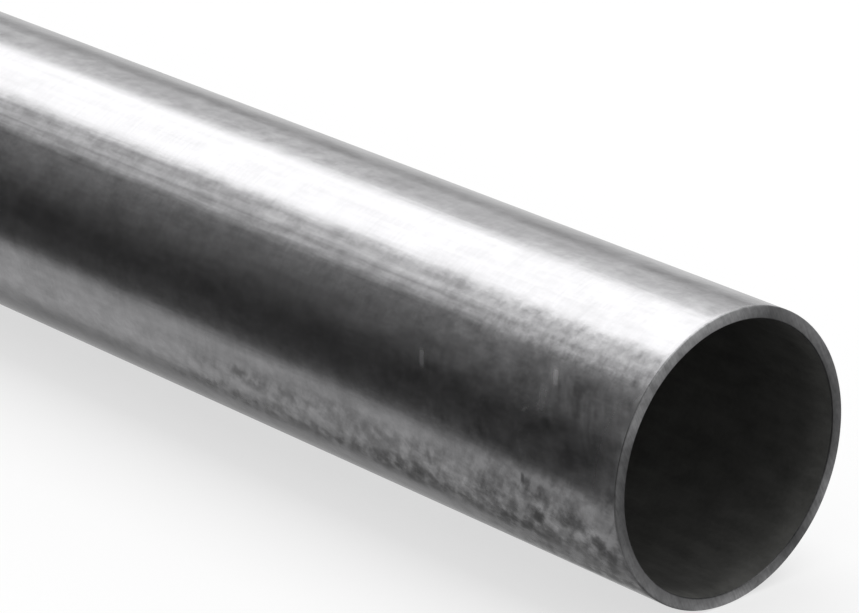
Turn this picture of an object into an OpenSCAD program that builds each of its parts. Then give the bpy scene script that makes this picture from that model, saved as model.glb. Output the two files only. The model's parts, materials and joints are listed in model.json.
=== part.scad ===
// Thin-wall steel conduit: one plain-ended length of welded round tube.
// Millimetres. The tube's axis is the X axis, and the middle of its length is at X = 0.

/* [Tube] */
// Outside diameter
outer_d = 38.4; // [30:0.1:120]
// Thickness of the wall
wall = 1.65; // [1.2:0.05:4]
// Length as it is sold
tube_l = 3048; // [600:1:6096]

/* [Cut ends] */
// Radius of the outer edge at each end
edge_r = 0.2; // [0.1:0.05:0.45]
// How far the reamer opens the bore at each end, measured across the wall
ream = 0.12; // [0.08:0.01:0.5]
// Slope of the reamed edge against the tube's axis, in degrees
ream_slope = 45; // [30:1:60]

/* [Weld bead] */
// Width of the rolled-down bead that runs along the bore
bead_w = 2.4; // [1.5:0.1:3]
// Height of the bead's crown above its feet
bead_h = 0.12; // [0.06:0.01:0.18]
// Where the bead lies round the bore, in degrees from the top towards -Y
bead_clock = 43; // [-180:1:180]

/* [Hidden] */
$fn = 96;
outer_r = outer_d / 2;
bore_r = outer_r - wall;
// Spare length by which a cutter passes the face that it cuts
spare = 1;
// The bead's crown is an arc through its two feet, which stand on the bore's wall
bead_feet_r = sqrt(pow(bore_r, 2) - pow(bead_w / 2, 2));
bead_crown_r = (pow(bead_h, 2) + pow(bead_w / 2, 2)) / (2 * bead_h);
// How far the reamer's cone starts inside the bore's wall, so that it dresses the bead too
ream_pilot = 2 * (bore_r - bead_feet_r + bead_h);

// The children and their mirror image in the plane Z = 0, one for each end of the tube
module both_ends() {
    children();
    mirror([0, 0, 1]) children();
}

// What a rounded edge takes off a square corner at the origin, with the solid below it and to its left
module edge_break(r) {
    translate([-r, -r]) difference() {
        square(r + spare);
        circle(r);
    }
}

// Half section of the wall, with the radius along X and the length along Y, and both outer edges rounded
module wall_profile() {
    difference() {
        translate([bore_r, -tube_l / 2]) square([wall, tube_l]);
        translate([outer_r, tube_l / 2]) edge_break(edge_r);
        translate([outer_r, -tube_l / 2]) mirror([0, 1]) edge_break(edge_r);
    }
}

// Cross-section of the bead on the +X side of the bore, with its root in the middle of the wall
module bead_section() {
    intersection() {
        translate([bead_feet_r - bead_h + bead_crown_r, 0]) circle(bead_crown_r);
        circle(bore_r + wall / 2);
    }
}

// The bead along the whole bore, at its place round the tube
module weld_bead() {
    rotate([0, 0, 180 + bead_clock])
        translate([0, 0, -tube_l / 2]) linear_extrude(tube_l) bead_section();
}

// The cone that a reamer takes out of the upper end
module reamer() {
    depth = (ream + ream_pilot) / tan(ream_slope);
    translate([0, 0, tube_l / 2 - depth])
        cylinder(h = depth + spare, r1 = bore_r - ream_pilot, r2 = bore_r + ream + spare * tan(ream_slope));
}

// The whole tube: the wall turned round the axis, the bead, and both ends reamed
module conduit_tube() {
    color("silver") rotate([0, 90, 0])
        difference() {
            union() {
                rotate_extrude() wall_profile();
                weld_bead();
            }
            both_ends() reamer();
        }
}

conduit_tube();
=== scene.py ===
"""Thin-wall steel conduit tube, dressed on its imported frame, in a plain studio.

All lengths are in metres. The tube's axis is the X axis, and Z is up. A place on the tube is given by its
distance from an end and by its clock, the angle round the axis from the top towards -Y.
"""

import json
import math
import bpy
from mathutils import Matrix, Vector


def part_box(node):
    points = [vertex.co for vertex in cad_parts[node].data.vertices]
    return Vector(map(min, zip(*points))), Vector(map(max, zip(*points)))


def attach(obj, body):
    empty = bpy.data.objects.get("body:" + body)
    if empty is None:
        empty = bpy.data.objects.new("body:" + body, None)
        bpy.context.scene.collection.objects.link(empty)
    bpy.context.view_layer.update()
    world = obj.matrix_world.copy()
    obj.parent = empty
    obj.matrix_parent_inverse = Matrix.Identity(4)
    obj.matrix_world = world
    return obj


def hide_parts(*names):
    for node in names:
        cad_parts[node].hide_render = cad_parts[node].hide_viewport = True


bl_info = {
    "name": "Steel Conduit Tube",
    "version": (1, 0, 0),
    "blender": (4, 5, 0),
    "location": "3D View > Sidebar > Conduit",
    "description": "A length of thin-wall welded steel conduit with its drawn, cut and coated finishes",
    "category": "Add Mesh",
}

import bpy
import numpy as np
from bpy.props import FloatProperty, FloatVectorProperty, PointerProperty
from mathutils import Vector

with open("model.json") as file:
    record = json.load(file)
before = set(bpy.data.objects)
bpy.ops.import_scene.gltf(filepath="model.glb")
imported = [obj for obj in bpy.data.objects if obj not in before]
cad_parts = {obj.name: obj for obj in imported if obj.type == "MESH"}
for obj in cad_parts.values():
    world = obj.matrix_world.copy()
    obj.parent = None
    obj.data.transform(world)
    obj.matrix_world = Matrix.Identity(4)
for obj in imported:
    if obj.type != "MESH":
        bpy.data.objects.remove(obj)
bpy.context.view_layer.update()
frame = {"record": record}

MM, MICRON = 1e-3, 1e-6
NODE = "conduit_tube"
END_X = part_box(NODE)[1][0]
OUTER_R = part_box(NODE)[1][2]
FLOOR_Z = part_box(NODE)[0][2]
BORE_R = next(m["dims"]["r_mm"] for m in frame["record"]["mounts"] if m["name"] == "bore") * MM


# ---------------------------------------------------------------- sizes and colours


class TubeSizes(bpy.types.PropertyGroup):
    """Sizes of the tube. Those that the frame knows come from it."""

    length: FloatProperty(
        name="Length", description="Length of the tube", default=2 * END_X, unit="LENGTH")
    outer_radius: FloatProperty(
        name="Outer radius", description="Radius of the outside", default=OUTER_R, unit="LENGTH")
    bore_radius: FloatProperty(
        name="Bore radius", description="Radius of the bore", default=BORE_R, unit="LENGTH")
    edge_radius: FloatProperty(
        name="Edge radius", description="Radius of the outer edge at each end",
        default=0.2 * MM, unit="LENGTH")
    ream: FloatProperty(
        name="Ream", description="How far the reamer opens the bore at each end",
        default=0.12 * MM, unit="LENGTH")
    burr_radius: FloatProperty(
        name="Burr radius", description="Radius of the two reamed corners", default=0.04 * MM,
        unit="LENGTH")
    bead_width: FloatProperty(
        name="Bead width", description="Width of the weld bead in the bore",
        default=2.4 * MM, unit="LENGTH")
    bead_height: FloatProperty(
        name="Bead height", description="Height of the bead's crown above its feet",
        default=0.12 * MM, unit="LENGTH")
    seam_clock: FloatProperty(
        name="Seam clock", description="Where the weld lies, from the top towards -Y",
        default=math.radians(43), subtype="ANGLE")


class TubeColours(bpy.types.PropertyGroup):
    """Colours and roughness of the tube's three finishes."""

    steel: FloatVectorProperty(
        name="Drawn steel", description="Bright outside of the tube", subtype="COLOR",
        default=(0.553, 0.55, 0.561))
    cut: FloatVectorProperty(
        name="Cut steel", description="Matt cut at each end", subtype="COLOR", default=(0.25, 0.25, 0.254))
    coating: FloatVectorProperty(
        name="Bore coating", description="Dark coating of the bore", subtype="COLOR",
        default=(0.056, 0.056, 0.053))
    steel_roughness: FloatProperty(
        name="Drawn roughness", description="Roughness of the clean outside", default=0.21,
        subtype="FACTOR", min=0, max=1)
    cut_roughness: FloatProperty(
        name="Cut roughness", description="Roughness of the cuts", default=0.5,
        subtype="FACTOR", min=0, max=1)
    coating_roughness: FloatProperty(
        name="Coating roughness", description="Roughness of the bore's coating", default=0.6,
        subtype="FACTOR", min=0, max=1)


class StudioSettings(bpy.types.PropertyGroup):
    """The studio's light, and the camera's place and lens."""

    azimuth: FloatProperty(
        name="Azimuth", description="Camera's angle round the tube, from -Y towards +X",
        default=math.radians(48.496), subtype="ANGLE")
    elevation: FloatProperty(
        name="Elevation", description="Camera's angle above the horizon",
        default=math.radians(21.227), subtype="ANGLE")
    distance: FloatProperty(
        name="Distance", description="From the camera to the point that it aims at",
        default=30.884 * OUTER_R, unit="LENGTH")
    aim_back: FloatProperty(
        name="Aim back", description="From the near end back to the point that the camera aims at",
        default=2.843 * OUTER_R, unit="LENGTH")
    aim_up: FloatProperty(
        name="Aim up", description="Height of that point above the axis", default=0.1986 * OUTER_R,
        unit="LENGTH")
    lens: FloatProperty(
        name="Lens", description="Focal length in millimetres, on a sensor 36 mm wide", default=194.18,
        unit="CAMERA")
    floor: FloatVectorProperty(
        name="Floor", description="Colour of the floor", subtype="COLOR", default=(0.36, 0.36, 0.36))
    floor_lift: FloatProperty(
        name="Floor lift", description="Brightness added to the floor where it is seen", default=0.6)
    surround: FloatProperty(
        name="Surround", description="Brightness of the soft light from all sides", default=0.72)
    softbox: FloatProperty(
        name="Softbox", description="Brightness that the overhead softbox adds", default=1.15)
    softbox_front: FloatProperty(
        name="Softbox front", description="Angle from straight up to the softbox's front edge",
        default=math.radians(8), subtype="ANGLE")
    softbox_back: FloatProperty(
        name="Softbox back", description="Angle from straight up to the softbox's back edge",
        default=math.radians(40.3), subtype="ANGLE")
    front_card: FloatProperty(
        name="Front card", description="Angle from straight up to the top of the card in front",
        default=math.radians(26), subtype="ANGLE")
    back_card: FloatProperty(
        name="Back card", description="Angle from straight up to the top of the card behind",
        default=math.radians(70), subtype="ANGLE")


# ---------------------------------------------------------------- node trees


class Value:
    """A number that changes over a surface. Arithmetic on it adds Math nodes to its tree."""

    def __init__(self, tree, socket):
        self.tree, self.socket = tree, socket

    def __add__(self, other):
        return self.tree.math("ADD", self, other)

    def __radd__(self, other):
        return self.tree.math("ADD", other, self)

    def __sub__(self, other):
        return self.tree.math("SUBTRACT", self, other)

    def __rsub__(self, other):
        return self.tree.math("SUBTRACT", other, self)

    def __mul__(self, other):
        return self.tree.math("MULTIPLY", self, other)

    def __rmul__(self, other):
        return self.tree.math("MULTIPLY", other, self)

    def __truediv__(self, other):
        return self.tree.math("DIVIDE", self, other)

    def __rtruediv__(self, other):
        return self.tree.math("DIVIDE", other, self)

    def __abs__(self):
        return self.tree.math("ABSOLUTE", self)

    def ramp(self, start, end):
        """0 where this value is at start, 1 where it is at end, and a smooth step between. The start may be
        the larger of the two."""
        low, high, first, last = (start, end, 0.0, 1.0) if start < end else (end, start, 1.0, 0.0)
        limits = {0: self, 1: low, 2: high, 3: first, 4: last}
        return self.tree.add("MapRange", {"interpolation_type": "SMOOTHSTEP"}, limits)

    def window(self, start, end, soft):
        """1 between start and end and 0 outside them, with edges that take twice the soft amount."""
        return self.ramp(start - soft, start + soft) * self.ramp(end + soft, end - soft)


class Tree:
    """The node tree of a material or world, cleared to be built anew."""

    def __init__(self, owner):
        owner.use_nodes = True
        self.nodes, self.links = owner.node_tree.nodes, owner.node_tree.links
        self.nodes.clear()

    def add(self, kind, settings=None, inputs=None, output=0):
        """Any node: its type, its settings, its sockets' values or links by name or number, and the output
        that is wanted. A ramp's stops are a setting, given as (place, level) pairs."""
        node = self.nodes.new("ShaderNode" + kind)
        for name, value in (settings or {}).items():
            if name == "stops":
                set_stops(node.color_ramp, value)
            else:
                setattr(node, name, value)
        for name, value in (inputs or {}).items():
            if isinstance(value, Value):
                self.links.new(value.socket, node.inputs[name])
            else:
                node.inputs[name].default_value = value
        return Value(self, node.outputs[output]) if node.outputs else None

    def math(self, operation, *inputs):
        """A Math node's result."""
        return self.add("Math", {"operation": operation}, dict(enumerate(inputs)))

    def end(self, kind, shader):
        """The tree's output node."""
        self.add("Output" + kind, {}, {"Surface": shader})

    def levels(self, factor, first, last, levels):
        """The level at a factor, from (factor, level) pairs that lie between first and last. It is a number,
        kept in a ramp's alpha."""
        stops = [((a - first) / (last - first), level) for a, level in levels]
        return self.add("ValToRGB", {"stops": stops}, {0: (factor - first) / (last - first)}, "Alpha")

    def shade(self, colour, tone):
        """A colour made lighter or darker."""
        return self.add("VectorMath", {"operation": "SCALE"}, {0: tuple(colour), "Scale": tone})

    def parts(self, vector):
        """The three parts of a vector."""
        node = self.add("SeparateXYZ", {}, {0: vector}).socket.node
        return [Value(self, output) for output in node.outputs]

    def field(self, vector, sizes, seed, detail=2.0, roughness=0.5):
        """A random field about 0 that mostly stays between -1 and 1, with features of the given sizes along
        the vector's three parts. Each seed reads another place of the noise."""
        scale, shift = tuple(1 / size for size in sizes), (7.3 * seed, 3.1 * seed, 5.7 * seed)
        places = self.add("Mapping", {}, {"Vector": vector, "Location": shift, "Scale": scale})
        look = {"Vector": places, "Detail": detail, "Roughness": roughness, "Scale": 1.0}
        return 4 * (self.add("TexNoise", {}, look) - 0.5)


def set_stops(ramp, stops):
    """Give a colour ramp its (place, level) stops."""
    while len(ramp.elements) < len(stops):
        ramp.elements.new(0.5)
    for element, (place, level) in zip(ramp.elements, stops):
        element.position, element.color = place, (level,) * 4


def rgba(colour):
    """A colour as a socket takes it."""
    return (*colour, 1.0)


def new_material(name):
    """An empty material and its node tree."""
    material = bpy.data.materials.new(name)
    return material, Tree(material)


# ---------------------------------------------------------------- the tube's mesh

DRAWN, CUT, COATED = range(3)  # the piece's material slots
SEGMENTS = 480  # steps round the tube
FOLDS = 4  # lengths into which the map folds each wall
WALL_STEPS = 3 * FOLDS  # even steps along half the tube, with a row of points at each fold
CLOSING_IN = (60, 18, 5, 1.2, 0.3, 0.08)  # millimetres from a wall's last row to the rows before it
EDGE_STEPS, BURR_STEPS = 9, 4  # points round the outer edge and round each reamed corner
FACE_ROWS = (0.06, 0.35, 0.65, 0.94)  # shares of the way across the flat cut
LIP_ROWS = (0.15, 0.85)  # shares of the way across the reamed lip
# How much the widths of the outer edge and of the reamed lip wander, and the counts and phases of the waves
EDGE_WANDER, EDGE_WAVES = 0.25, ((2, 0.7), (5, 2.1), (9, 4.0), (16, 1.3))
REAM_WANDER, REAM_WAVES = 0.3, ((3, 5.2), (7, 0.4), (13, 3.3))
BAKE_MAP = "OFBake"
BAND_HEIGHTS = (0.2, 0.035, 0.02)  # on the map, of a length outside, a length of the bore and a cut end
MAP_GAP = 0.003  # gap between two bands of the map


def bore_radii(sizes, clock):
    """Radius of the bore at each clock: the wall's, or that of the bead's crown where it stands proud. The
    crown is an arc of radius q about a point at c from the axis, so at the angle a from the bead's middle
    its radius is c cos a - sqrt(q^2 - (c sin a)^2)."""
    half = sizes.bead_width / 2
    feet = math.sqrt(sizes.bore_radius**2 - half**2)
    q = (sizes.bead_height**2 + half**2) / (2 * sizes.bead_height)
    c = feet - sizes.bead_height + q
    a = clock - sizes.seam_clock
    crown = c * np.cos(a) - np.sqrt(np.maximum(q**2 - (c * np.sin(a)) ** 2, 0))
    return np.where(np.abs(a) < math.asin(half / sizes.bore_radius), crown, sizes.bore_radius)


def wander(clock, waves):
    """A slow, closed wander round the tube, between -1 and 1: the mean of cosines, each with a whole number
    of waves and a phase."""
    return sum(np.cos(count * clock + phase) for count, phase in waves) / len(waves)


def fillet(before, corner, after, radius, steps):
    """The arc that rounds a corner of an outline. With u and v the unit vectors from the arc's centre to
    its two ends, and t from 0 to 1, it is centre + radius (sin((1 - t) turn) u + sin(t turn) v) / sin(turn).
    The arrays' first axis is the step along the arc, their second the clock, and their last is (x, r)."""
    come, go = corner - before, after - corner
    come = come / np.linalg.norm(come, axis=-1, keepdims=True)
    go = go / np.linalg.norm(go, axis=-1, keepdims=True)
    turn = np.arccos(np.clip((come * go).sum(-1, keepdims=True), -1, 1))
    inward = (go - come) / np.linalg.norm(go - come, axis=-1, keepdims=True)
    centre = corner + inward * radius / np.cos(turn / 2)
    back = radius * np.tan(turn / 2)
    u, v = (corner - come * back - centre) / radius, (corner + go * back - centre) / radius
    t = np.linspace(0, 1, steps)[:, None, None]
    return centre + radius * (np.sin((1 - t) * turn) * u + np.sin(t * turn) * v) / np.sin(turn)


def wall_run(half_length, x_last, r):
    """Points along a straight wall from mid-length to x_last: even steps, then closer and closer ones, so
    that the rounding that follows doesn't bend the wall's shading."""
    far = np.arange(WALL_STEPS)[:, None] / WALL_STEPS * half_length * np.ones_like(r)
    near = x_last - np.array(CLOSING_IN)[:, None] * MM
    x = np.concatenate([far, near])
    return np.stack([x, r * np.ones_like(x)], -1)


def between(a, b, shares):
    """Points on the straight line from a to b."""
    return a + (b - a) * np.array(shares)[:, None, None]


def half_section(sizes, clock):
    """The wall's outline at each clock, from mid-length outside, round the +X end, to mid-length in the
    bore. The outer edge and the reamed one were dressed by hand, so their widths wander a little. Returns
    the (x, r) points and the material slot of each stretch between two points."""
    end = sizes.length / 2
    edge = sizes.edge_radius * (1 + EDGE_WANDER * wander(clock, EDGE_WAVES))
    ream = sizes.ream * (1 + REAM_WANDER * wander(clock, REAM_WAVES))
    bore = bore_radii(sizes, clock)
    outer = np.full_like(clock, sizes.outer_radius)
    tip = np.full_like(clock, end)
    middle_out, rim = np.stack([0 * tip, outer], -1), np.stack([tip, outer], -1)
    lip = np.stack([tip, sizes.bore_radius + ream], -1)
    foot = np.stack([end - (sizes.bore_radius + ream - bore), bore], -1)
    middle_in = np.stack([0 * tip, bore], -1)
    outer_edge = fillet(middle_out, rim, lip, edge[:, None], EDGE_STEPS)
    reamed_lip = fillet(rim, lip, foot, sizes.burr_radius, BURR_STEPS)
    reamed_foot = fillet(lip, foot, middle_in, sizes.burr_radius, BURR_STEPS)
    parts = [
        (DRAWN, wall_run(end, outer_edge[0, :, 0], outer)),
        (CUT, outer_edge),
        (CUT, between(outer_edge[-1], reamed_lip[0], FACE_ROWS)),
        (CUT, reamed_lip),
        (CUT, between(reamed_lip[-1], reamed_foot[0], LIP_ROWS)),
        (CUT, reamed_foot[:-1]),
        (COATED, reamed_foot[-1:]),
        (COATED, wall_run(end, reamed_foot[-1, :, 0], bore)[::-1]),
    ]
    points = np.concatenate([p for _, p in parts])
    slots = np.concatenate([np.full(len(p), slot) for slot, p in parts])
    return points, slots[:-1]


def whole_section(sizes, clock):
    """The closed outline: the half section and its mirror image, joined at mid-length outside and in the
    bore."""
    points, slots = half_section(sizes, clock)
    mirrored = points[-2:0:-1] * (-1, 1)
    return np.concatenate([points, mirrored]), np.concatenate([slots, slots[::-1]])


def tube_grid(points, clock):
    """The outline carried round the axis: a point (x, r) at a clock a is at (x, -r sin a, r cos a). Both
    ways round the grid are closed. Returns the corners and the four-sided faces, which point out of the
    steel."""
    x, r = points[..., 0], points[..., 1]
    corners = np.stack([x, -r * np.sin(clock), r * np.cos(clock)], -1)
    rows, columns = x.shape
    i, j = np.meshgrid(np.arange(rows), np.arange(columns), indexing="ij")
    i_next, j_next = (i + 1) % rows, (j + 1) % columns
    faces = [i * columns + j, i * columns + j_next, i_next * columns + j_next, i_next * columns + j]
    return corners.reshape(-1, 3), np.stack(faces, -1).reshape(-1, 4)


def folded_map(points, slots, columns, length):
    """Places on a square map for the corners of every face. Each wall is folded into FOLDS lengths, which
    lie in bands across the map: the tube's length runs from left to right, and its clock upwards. Each cut
    end is one thin band, with its clock from left to right and the way across the cut upwards."""
    x, x_next = points[:, 0, 0], np.roll(points[:, 0, 0], -1)
    is_cut, at_far_end = slots == CUT, (x + x_next > 0).astype(int)
    fold = np.floor(((x + x_next) / 2 / length + 0.5) * FOLDS).clip(0, FOLDS - 1).astype(int)
    share, share_next = [(place / length + 0.5) * FOLDS - fold for place in (x, x_next)]
    step = np.linalg.norm(np.roll(points[:, 0], -1, 0) - points[:, 0], axis=1)
    for end in (0, 1):
        here = is_cut & (at_far_end == end)
        walked = np.cumsum(step[here])
        share[here], share_next[here] = (walked - step[here]) / walked[-1], walked / walked[-1]
    shares = np.stack([share, share, share_next, share_next], -1)[:, None] * np.ones((1, columns, 1))
    j = np.arange(columns)
    clocks = np.stack([j, j + 1, j + 1, j], -1) / columns * np.ones((len(slots), 1, 1))
    u = np.where(is_cut[:, None, None], clocks, shares)
    v = np.where(is_cut[:, None, None], shares, clocks)
    first_band = {DRAWN: 0, COATED: FOLDS, CUT: 2 * FOLDS}
    band = np.array([first_band[slot] for slot in slots]) + np.where(is_cut, at_far_end, fold)
    heights = np.repeat(BAND_HEIGHTS, [FOLDS, FOLDS, 2])
    tops = np.cumsum(heights)
    low, high = (tops - heights + MAP_GAP)[band][:, None, None], tops[band][:, None, None]
    return np.stack([MAP_GAP + (1 - 2 * MAP_GAP) * u, low + (high - low) * v], -1).reshape(-1, 2)


def make_piece(name, corners, faces, materials, slots):
    """A smooth mesh object at the origin from arrays of corners, faces and the faces' material slots."""
    mesh = bpy.data.meshes.new(name)
    mesh.vertices.add(len(corners))
    mesh.vertices.foreach_set("co", corners.astype(np.float32).ravel())
    mesh.loops.add(faces.size)
    mesh.loops.foreach_set("vertex_index", faces.astype(np.int32).ravel())
    mesh.polygons.add(len(faces))
    mesh.polygons.foreach_set("loop_start", np.arange(0, faces.size, faces.shape[1], dtype=np.int32))
    for material in materials:
        mesh.materials.append(material)
    mesh.polygons.foreach_set("material_index", slots.astype(np.int32))
    mesh.update(calc_edges=True)
    mesh.validate()
    mesh.shade_smooth()
    piece = bpy.data.objects.new(name, mesh)
    bpy.context.scene.collection.objects.link(piece)
    return piece


# ---------------------------------------------------------------- the tube's finishes
#
# Places in these lists are given by their distance from an end in millimetres and by their clock in
# degrees.

# Brightness of the cut by its clock: partly uneven burnishing from the saw, partly painted light and shade
CUT_SHADES = (
    (-180, 0.85), (-160, 1.35), (-140, 0.6), (-120, 1.3), (-100, 0.6), (-80, 0.5), (-60, 0.72),
    (-40, 0.85), (-20, 0.5), (0, 1.2), (20, 1.45), (40, 1.25), (62, 1.38), (70, 0.75), (76, 0.57),
    (100, 0.52), (120, 0.75), (140, 0.87), (160, 0.7), (180, 0.85))
# Slant of the saw marks on the cut
SAW_SLANT = math.radians(25)
# Bright (1), plain (0.5) and dark (0) lines that the scarfing tool left along the weld, by their clock
# past it
SCARF_LINES = (
    (-10, 0.5), (-7, 0.4), (-5.4, 0.2), (-3.8, 0.55), (-2.2, 0.825), (-0.7, 0.5), (0.3, 0.15),
    (1.4, 0.55), (2.8, 0.85), (4.8, 0.55), (6.8, 0.2), (8.6, 0.4), (12, 0.5))
# Nicks and rubs from handling: distance from the +X end, clock, length in millimetres, lean, half width
# in millimetres, and how bright (above 0) or dark (below 0) they are
NICKS = (
    (35.9, 68.2, 2.8, -0.42, 0.62, 0.5), (13.9, 56, 2.8, -0.49, 0.62, 0.42),
    (14.7, 64, 5.5, -0.2, 1, 0.22), (17, 70.9, 1, 0.49, 0.5, 0.25), (12, 115, 1.8, 0.49, 0.7, 0.4),
    (19.3, 116.1, 1.3, 0.69, 0.55, 0.35), (27.6, 110, 2, 0.6, 0.6, 0.3),
    (16.2, 96.6, 1.9, 0.1, 0.45, -0.6), (16.5, 101, 1.6, 0.5, 0.6, 0.55),
    (33.8, 105.8, 3.2, 0.1, 0.5, -0.3))
# Bands of dirt along the underside: the depth, and what Places.band takes
DIRT_BANDS = (
    (0.66, 100, 123, 6, 30, 104), (0.36, 88, 126, 4, 14, 40), (0.38, 116, 126, 4, 55, 130),
    (1.2, 128, 140, 4, 9, 40), (0.08, 90, 99, 4, 16, 50), (0.35, 84, 98, 3, 1, 4.5))
# Soft ovals with more (above 0) or less (below 0) dirt: distance from the +X end, clock, half length and
# half width in millimetres, and depth
DIRTY_PLACES = (
    (4.3, 112, 2.2, 1.4, 0.6), (14.4, 98.5, 1.8, 1, 0.65), (14.4, 111, 2, 1.4, 0.85),
    (8.7, 106, 2, 2, 0.4), (20.2, 121, 4.6, 2.2, 0.45), (24, 111, 2.4, 1.8, 0.5),
    (3.2, 129, 2.6, 1.3, 0.45), (37.5, 119, 8, 2, 0.4), (40, 116, 5, 1.3, 0.4),
    (50, 118.5, 10, 1.7, 0.33), (68, 110, 13, 2.4, 0.18), (69.5, 107, 4, 1.3, 0.36),
    (75, 121, 12, 1.5, 0.3), (11.6, 114, 1.6, 1.4, -0.6), (3.8, 101.5, 3, 1.6, -0.5),
    (17, 106.5, 2, 1.2, -0.4), (28, 107, 4, 1.6, -0.33), (70.7, 113.5, 2.6, 1.2, -0.33))


class Places:
    """Where a point lies on the tube: its position, clock, radius and distance from the nearer end, and
    along and around, the millimetres from the +X end and round the outside from the top."""

    def __init__(self, tree, sizes):
        self.tree, self.sizes = tree, sizes
        self.position = tree.add("TexCoord", {}, {}, "Object")
        self.x, self.y, self.z = tree.parts(self.position)
        self.clock = tree.math("ARCTAN2", -1 * self.y, self.z)
        self.radius = tree.math("SQRT", self.y * self.y + self.z * self.z)
        self.from_end = sizes.length / 2 - abs(self.x)
        self.along = (sizes.length / 2 - self.x) / MM
        self.around = sizes.outer_radius / MM * self.clock

    def field(self, seed, along, round_it, detail=2.0, roughness=0.5):
        """A random field with features of the given sizes in millimetres along the tube and round it."""
        sizes = along * MM, round_it * MM, round_it * MM
        return self.tree.field(self.position, sizes, seed, detail, roughness)

    def leaning_field(self, seed, lean, along, round_it):
        """A random field with features that run round the outside and lean along it by the lean for each
        millimetre round."""
        place = self.tree.add("CombineXYZ", {}, {0: self.along + lean * self.around, 1: self.around})
        return self.tree.field(place, (along, round_it, 1.0), seed)

    def near(self, full, gone):
        """1 at a distance full from the nearer end, in millimetres, and 0 at a distance gone."""
        return self.from_end.ramp(gone * MM, full * MM)

    def band(self, start, end, soft, full=None, gone=None):
        """1 between two clocks in degrees, with soft edges, all along the tube or only near its ends."""
        inside = self.clock.window(math.radians(start), math.radians(end), math.radians(soft))
        return inside if gone is None else inside * self.near(full, gone)

    def round_to(self, clock):
        """Millimetres round the outside from the top to a clock in degrees."""
        return self.sizes.outer_radius / MM * math.radians(clock)


def scarf_marks(at):
    """The marks along the weld, from about -1 to 1: rough specks and bars near the ends, and further on
    clean lines that waver a little, with deeper grooves along their upper edge."""
    weld = math.degrees(at.sizes.seam_clock)
    waver = at.field(11, 35, 8)
    specks = at.field(12, 1.3, 1.3, 3, 0.6)
    dashes = at.field(14, 9, 0.7)
    patches = at.field(15, 12, 2)
    bars = at.leaning_field(19, 0.2, 1, 3.5) * at.band(weld - 1, weld + 6, 1.5, 12, 38)
    away = at.near(45, 15)
    past_weld = at.clock * math.degrees(1) + 0.2 * waver - weld
    first, last = SCARF_LINES[0][0], SCARF_LINES[-1][0]
    lines = 2 * at.tree.levels(past_weld, first, last, SCARF_LINES) - 1
    rough = (1.1 - 0.75 * away) * specks + 0.5 * away * dashes + 0.35 * patches + 0.8 * bars
    wide_groove = at.band(weld - 6.5, weld - 2, 0.8, 85, 62)
    deep_groove = at.band(weld - 4.3, weld - 1, 0.8, 92, 66)
    grooves = 0.45 * wide_groove + 0.75 * deep_groove
    return lines * (0.5 + 0.5 * away + 0.4 * patches) + at.band(weld - 8, weld + 8, 2) * rough - grooves


def nick(at, distance, clock, length, lean, half_width, strength):
    """One short mark across the tube: its strength on a leaning line with soft sides and ends, and 0
    elsewhere."""
    across = at.around - at.round_to(clock)
    on_line = abs(at.along - distance - lean * across).ramp(half_width, half_width / 4)
    return strength * on_line * abs(across).ramp(length / 2, length / 5)


def chatter(at):
    """Slanting strokes and blotches on the front of the tube, where its ends were gripped: mostly from -1
    to 1."""
    strokes = at.leaning_field(13, 0.45, 1.6, 4.5)
    gripped = at.field(18, 7, 5).ramp(-0.3, 0.6)
    blotches = at.field(17, 4.5, 2.6, 3, 0.6)
    return (0.9 * gripped * strokes + 0.8 * blotches) * at.band(51, 88, 3, 12, 65)


def dirty_places(at):
    """The soft ovals with more or less dirt, summed. A field bends each of them a little. With u and v the
    distances from an oval's middle in its own half length and half width, it fades out as u^2 + v^2 grows
    to 1.9."""
    bend = at.field(16, 5, 5)
    along, around = at.along + 0.8 * bend, at.around - 0.5 * bend

    def oval(distance, clock, half_length, half_width, depth):
        u, v = (along - distance) / half_length, (around - at.round_to(clock)) / half_width
        return depth * (u * u + v * v).ramp(1.9, 0)

    return sum(oval(*place) for place in DIRTY_PLACES)


def soil(at):
    """Dirt along the underside from lying in a rack: the share of the light that it keeps, which is
    1 - exp(-1.25 d) under a layer of depth d."""
    cover = sum(depth * at.band(*band) for depth, *band in DIRT_BANDS) + dirty_places(at)
    blots = 0.55 * at.leaning_field(6, -0.6, 1.4, 4) + 0.9 * at.field(9, 2.6, 2.1, 3, 0.6)
    depth = at.tree.math("MAXIMUM", cover, 0.0) * (0.15 + 0.9 * blots.ramp(-0.85, 1.1))
    return 1 - at.tree.math("EXPONENT", -1.25 * depth)


def surface(tree, colour, tone, metallic, roughness, microns):
    """A surface of one colour that a tone makes lighter and darker, with its relief given in microns."""
    relief = tree.add("Bump", {}, {"Strength": 1.0, "Distance": MICRON, "Height": microns})
    look = {
        "Base Color": tree.shade(colour, tone), "Metallic": metallic, "Roughness": roughness,
        "Normal": relief}
    tree.end("Material", tree.add("BsdfPrincipled", {}, look))


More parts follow.
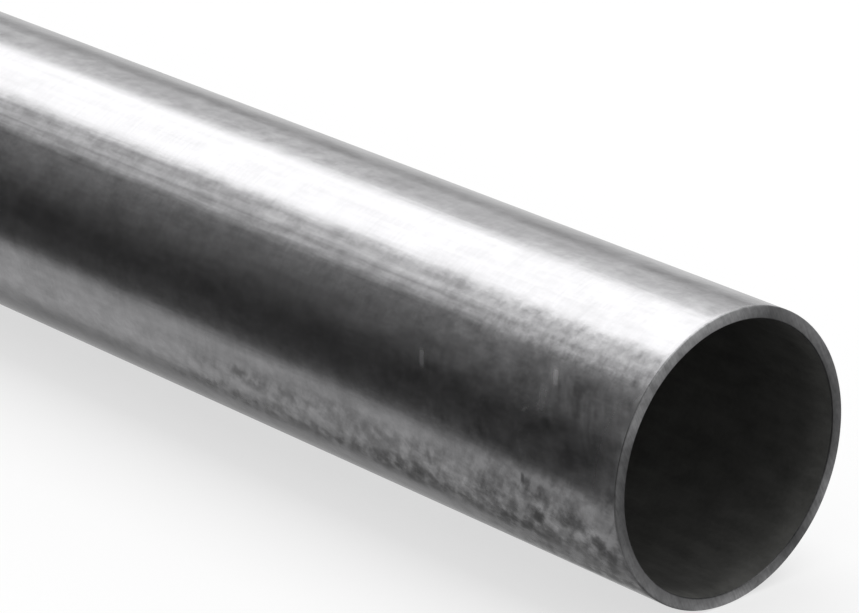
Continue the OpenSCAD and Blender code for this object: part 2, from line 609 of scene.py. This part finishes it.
def drawn_steel(sizes, colours):
    """The bright outside: long drawing marks, a mottled coating, a scarfed weld, handled and soiled ends,
    and a painted highlight and painted sheen near the ends."""
    material, tree = new_material("drawn_steel")
    at = Places(tree, sizes)
    streaks = at.field(1, 35, 1.2, 2, 0.6)
    bands = at.field(2, 300, 3)
    mottle = at.field(3, 3.6, 2.4, 4, 0.64)
    waves = at.field(4, 3.2, 1.9)
    clouds = at.field(5, 30, 8)
    brushed = at.field(7, 0.4, 5)
    spangle = at.field(8, 9, 5, 1)
    patchy = clouds.ramp(-0.6, 0.7)
    lines, marks = scarf_marks(at), sum(nick(at, *row) for row in NICKS)
    strokes, dirt = chatter(at), soil(at)
    # A ragged strip at the very end is rougher, and a wider one on the front
    ragged = at.from_end + 0.4 * MM * mottle
    front_strip = at.band(52, 122, 6) * ragged.ramp(5 * MM, 1.4 * MM)
    scuffed = ragged.ramp(0.9 * MM, 0.2 * MM) + 1.3 * front_strip
    # Strips made lighter or darker, and a strip past the top with a calmer coating
    # Lighter at the front near the ends: partly rubbed steel, partly painted sheen over the dark reflected
    # band
    rub_and_painted_sheen = at.band(63, 88, 4) * (at.near(2, 5) + 0.4 * at.near(18, 32))
    # Painted highlight: lighter near the ends just above the softbox's highlight, which widens it there
    bright = at.band(2, 10, 3, 10, 60)
    # Darker on a strip behind the top, from 50 mm from each end, fully from 95 mm
    darker_behind_top = at.band(-13, -4, 2, 95, 50)
    calm = 1 - 0.65 * at.band(8, 33, 3)
    spotted = calm * (mottle * (0.14 + 0.09 * patchy + 0.06 * at.near(5, 45)) + 0.08 * spangle)
    drawn = 0.05 * streaks + 0.04 * bands + 0.03 * brushed
    worked_and_painted_light = 0.25 * lines + marks + 0.4 * strokes + 0.18 * rub_and_painted_sheen + 0.2 * bright - 0.08 * darker_behind_top
    tone = (1 + spotted + drawn + worked_and_painted_light) * (1 - dirt)
    wear = 0.1 * scuffed + 0.1 * dirt + 0.25 * marks
    roughness = colours.steel_roughness + 0.03 * clouds + 0.02 * mottle + wear
    ripple = waves * (2.5 + 2 * patchy) + 2 * streaks + 0.25 * brushed
    surface(tree, colours.steel, tone, 1.0, roughness, ripple + 4 * lines + 3 * strokes - 7 * marks)
    return material


def cut_steel(sizes, colours):
    """The matt cut: saw marks straight across the end, uneven burnishing mixed with painted light and shade,
    an outer edge with wear and a painted glint at the side, and a reamed lip painted dark as shade."""
    material, tree = new_material("cut_steel")
    at = Places(tree, sizes)
    across = math.cos(SAW_SLANT) * at.y + math.sin(SAW_SLANT) * at.z
    down = math.cos(SAW_SLANT) * at.z - math.sin(SAW_SLANT) * at.y
    on_cut = tree.add("CombineXYZ", {}, {0: across, 1: down, 2: at.x})
    saw = tree.field(on_cut, (0.25 * MM, 4 * MM, 1 * MM), 21)
    mottle = tree.field(on_cut, (0.8 * MM, 1 * MM, 1 * MM), 22, 3, 0.6)
    # A ramp's alpha holds levels up to 1, so the shades go in halved
    halved = [(clock, shade / 2) for clock, shade in CUT_SHADES]
    # Burnishing, and painted light and shade, by clock
    burnish_and_painted_light = 2 * tree.levels(at.clock * math.degrees(1), -180, 180, halved)
    lip_radius = sizes.bore_radius + sizes.ream
    outward = at.radius.ramp(lip_radius, sizes.outer_radius - sizes.edge_radius)
    rim_wear_and_glint = at.radius.ramp(sizes.outer_radius - 0.7 * sizes.edge_radius, sizes.outer_radius)
    # Painted shade: the reamed lip at the mouth of the bore is painted darker, and made rougher
    lip = at.radius.ramp(lip_radius + 0.1 * MM, lip_radius - 0.1 * MM)
    # The cut is darker towards its outer edge near the weld, and its outer edge is painted lighter at the
    # side as a painted glint
    near_weld, side = at.band(38, 70, 8), at.band(72, 112, 6)
    outer_darkening = near_weld * (0.16 * outward + 0.3 * rim_wear_and_glint)
    radial = 0.82 + 0.3 * outward + (0.2 + 0.9 * side) * rim_wear_and_glint - outer_darkening
    tone = burnish_and_painted_light * (1 + 0.16 * saw + 0.25 * mottle) * radial * (1 - 0.6 * lip)
    roughness = colours.cut_roughness + 0.06 * mottle + 0.15 * lip
    surface(tree, colours.cut, tone, 1.0, roughness, 2.5 * saw + 6 * mottle)
    return material


def bore_coating(sizes, colours):
    """The dark coating of the bore: mottled, with runs along the tube, dusty at the lip, and painted paler
    deep inside as painted light."""
    material, tree = new_material("bore_coating")
    at = Places(tree, sizes)
    runs = at.field(31, 45, 1.5)
    mottle = at.field(32, 4, 2.5, 3, 0.6)
    grain = at.field(33, 0.6, 0.6)
    # Lighter within 5 mm of each end from dust, and painted light from 12 mm inside, fully from 32 mm
    depth = 1 + 0.6 * at.near(0.5, 5) + 0.9 * at.near(32, 12)
    tone = (1 + 0.12 * runs + 0.2 * mottle + 0.1 * grain) * depth
    roughness = colours.coating_roughness + 0.08 * mottle - 0.05 * runs
    surface(tree, colours.coating, tone, 0.0, roughness, 12 * mottle + 3 * grain + 4 * runs)
    return material


# ---------------------------------------------------------------- the studio

SOFTBOX_HEIGHT = 25.0  # far enough that each part of the tube sees it at the same angles
REACH = 80.0  # length of the softbox and of the cards along X
CARD_NEAR = 0.25 * OUTER_R  # from below the axis to a card's near edge
CARD_Y = 12.0  # where the cards stand upright
CARD_BEND = 1.5  # radius in which they turn up from the floor
CARD_LIFT = 0.1 * MM  # keeps them clear of the floor
FLOOR_REACH = 400.0  # from the middle of the floor to its edges
# Brightness of the cards by their angle from straight up, in degrees, seen from the axis
FRONT_GREYS = (
    (26, 0.6), (32, 0.5), (36, 0.24), (45, 0.175), (51, 0.155), (63, 0.116), (75, 0.077), (85, 0.039),
    (95, 0.033), (100, 0.04), (105, 0.052), (108, 0.056), (111, 0.08), (115, 0.31), (118, 0.4),
    (124, 0.42), (132, 0.45), (137, 0.37), (143, 0.23), (148, 0.28), (153, 0.33), (158, 0.48))
BACK_GREYS = (
    (70, 0.43), (80, 0.37), (86, 0.58), (95, 0.75), (105, 0.75), (113, 0.42), (140, 0.36), (165, 0.3))


def card_grid(side, top, rows=9):
    """A card's outline from its near edge along the floor, round a quarter circle, and up to its top,
    carried straight along X. Side is -1 in front of the tube and 1 behind it. Returns its corners and
    faces."""
    floor = FLOOR_Z + CARD_LIFT
    a = np.linspace(0, np.pi / 2, rows)
    y = side * np.concatenate([[CARD_NEAR], CARD_Y - CARD_BEND + CARD_BEND * np.sin(a), [CARD_Y]])
    z = np.concatenate([[floor], floor + CARD_BEND - CARD_BEND * np.cos(a), [top]])
    x = np.array([-REACH / 2, REACH / 2])[:, None]
    corners = np.stack(np.broadcast_arrays(x, y, z), -1).reshape(-1, 3)
    k = np.arange(len(y) - 1)
    return corners, np.stack([k, k + 1, k + 1 + len(y), k + len(y)], -1)


def camera_direction(studio):
    """Unit vector from the point that the camera aims at to the camera."""
    level = math.cos(studio.elevation)
    return Vector((
        math.sin(studio.azimuth) * level, -math.cos(studio.azimuth) * level, math.sin(studio.elevation)))


def add_camera(studio):
    """The camera, aimed at a point just behind the near end."""
    camera = bpy.data.objects.new("camera", bpy.data.cameras.new("camera"))
    bpy.context.scene.collection.objects.link(camera)
    back = camera_direction(studio)
    camera.location = Vector((END_X - studio.aim_back, 0, studio.aim_up)) + back * studio.distance
    camera.rotation_mode = "QUATERNION"
    camera.rotation_quaternion = (-back).to_track_quat("-Z", "Y")
    camera.data.sensor_width = 36.0
    camera.data.lens = studio.lens
    camera.data.clip_start, camera.data.clip_end = 0.01, 2 * FLOOR_REACH
    bpy.context.scene.camera = camera


def add_floor(studio):
    """The floor: its colour takes the light and the tube's shadow, and what is seen of it is lifted to
    white."""
    material, tree = new_material("floor")
    rays = "Is Camera Ray", "Is Glossy Ray", "Is Transmission Ray"
    seen = sum(tree.add("LightPath", {}, {}, ray) for ray in rays)
    lift = tree.add("Emission", {}, {"Color": studio.floor_lift * seen, "Strength": 1.0})
    plain = tree.add("BsdfDiffuse", {}, {"Color": rgba(studio.floor)})
    tree.end("Material", tree.add("AddShader", {}, {0: plain, 1: lift}))
    corners = np.array([(-1, -1), (1, -1), (1, 1), (-1, 1)]) * FLOOR_REACH
    corners = np.column_stack([corners, np.full(4, FLOOR_Z)])
    make_piece("floor", corners, np.array([[0, 1, 2, 3]]), [material], np.zeros(1))


def add_card(name, side, top_angle, greys):
    """A graded card that shows only in reflections, and gives the tube its dark and grey bands."""
    material, tree = new_material(name)
    _, y, z = tree.parts(tree.add("TexCoord", {}, {}, "Object"))
    from_up = tree.math("ARCTAN2", side * y, z) * math.degrees(1)
    glow = tree.levels(from_up, 0, 180, greys)
    tree.end("Material", tree.add("Emission", {}, {"Color": glow, "Strength": 1.0}))
    corners, faces = card_grid(side, CARD_Y / math.tan(top_angle))
    card = make_piece(name, corners, faces, [material], np.zeros(len(faces)))
    card.visible_camera = card.visible_diffuse = card.visible_shadow = False


def add_softbox(studio):
    """The long overhead softbox. Its power is pi times its brightness times its area."""
    front = -SOFTBOX_HEIGHT * math.tan(studio.softbox_front)
    back = SOFTBOX_HEIGHT * math.tan(studio.softbox_back)
    lamp = bpy.data.lights.new("softbox", "AREA")
    lamp.shape = "RECTANGLE"
    lamp.size, lamp.size_y = REACH, back - front
    lamp.energy = studio.softbox * math.pi * lamp.size * lamp.size_y
    box = bpy.data.objects.new("softbox", lamp)
    box.location = (0, (front + back) / 2, SOFTBOX_HEIGHT)
    box.visible_camera = False
    bpy.context.scene.collection.objects.link(box)


def light_surround(studio):
    """The pale walls, and their soft light from all sides."""
    world = bpy.data.worlds.new("surround")
    bpy.context.scene.world = world
    tree = Tree(world)
    tree.end("World", tree.add("Background", {}, {"Color": rgba((1, 1, 1)), "Strength": studio.surround}))


# ---------------------------------------------------------------- operators, panel and main


class CONDUIT_OT_tube(bpy.types.Operator):
    """Make the tube, with its drawn outside, cut ends and coated bore"""

    bl_idname = "conduit.tube"
    bl_label = "Conduit Tube"

    def execute(self, context):
        sizes, colours = context.scene.tube_sizes, context.scene.tube_colours
        clock = np.arange(SEGMENTS) * 2 * np.pi / SEGMENTS - np.pi
        points, slots = whole_section(sizes, clock)
        corners, faces = tube_grid(points, clock)
        finishes = [make(sizes, colours) for make in (drawn_steel, cut_steel, bore_coating)]
        tube = make_piece("tube", corners, faces, finishes, np.repeat(slots, SEGMENTS))
        places = folded_map(points, slots, SEGMENTS, sizes.length)
        tube.data.uv_layers.new(name=BAKE_MAP, do_init=False).uv.foreach_set(
            "vector", places.astype(np.float32).ravel())
        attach(tube, "root")
        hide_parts(NODE)
        return {"FINISHED"}


class CONDUIT_OT_studio(bpy.types.Operator):
    """Make the studio: floor, cards, softbox, surround and camera"""

    bl_idname = "conduit.studio"
    bl_label = "Studio"

    def execute(self, context):
        studio = context.scene.studio
        context.scene.view_settings.view_transform = "Standard"
        add_camera(studio)
        add_floor(studio)
        add_card("front_card", -1, studio.front_card, FRONT_GREYS)
        add_card("back_card", 1, studio.back_card, BACK_GREYS)
        add_softbox(studio)
        light_surround(studio)
        return {"FINISHED"}


class CONDUIT_PT_panel(bpy.types.Panel):
    """The conduit's sizes, colours and studio"""

    bl_label = "Steel Conduit"
    bl_space_type = "VIEW_3D"
    bl_region_type = "UI"
    bl_category = "Conduit"

    def draw(self, context):
        for group in ("tube_sizes", "tube_colours", "studio"):
            settings = getattr(context.scene, group)
            box = self.layout.box()
            for name in settings.bl_rna.properties.keys():
                if name not in ("rna_type", "name"):
                    box.prop(settings, name)
        for operator in (CONDUIT_OT_tube, CONDUIT_OT_studio):
            self.layout.operator(operator.bl_idname)


GROUPS = {"tube_sizes": TubeSizes, "tube_colours": TubeColours, "studio": StudioSettings}
CLASSES = (*GROUPS.values(), CONDUIT_OT_tube, CONDUIT_OT_studio, CONDUIT_PT_panel)


def register():
    for cls in CLASSES:
        bpy.utils.register_class(cls)
    for name, group in GROUPS.items():
        setattr(bpy.types.Scene, name, PointerProperty(type=group))


def unregister():
    for name in GROUPS:
        delattr(bpy.types.Scene, name)
    for cls in reversed(CLASSES):
        bpy.utils.unregister_class(cls)


def main():
    """Register the add-on, then make the tube and the studio."""
    register()
    bpy.ops.conduit.tube()
    bpy.ops.conduit.studio()


if __name__ == "__main__":
    main()
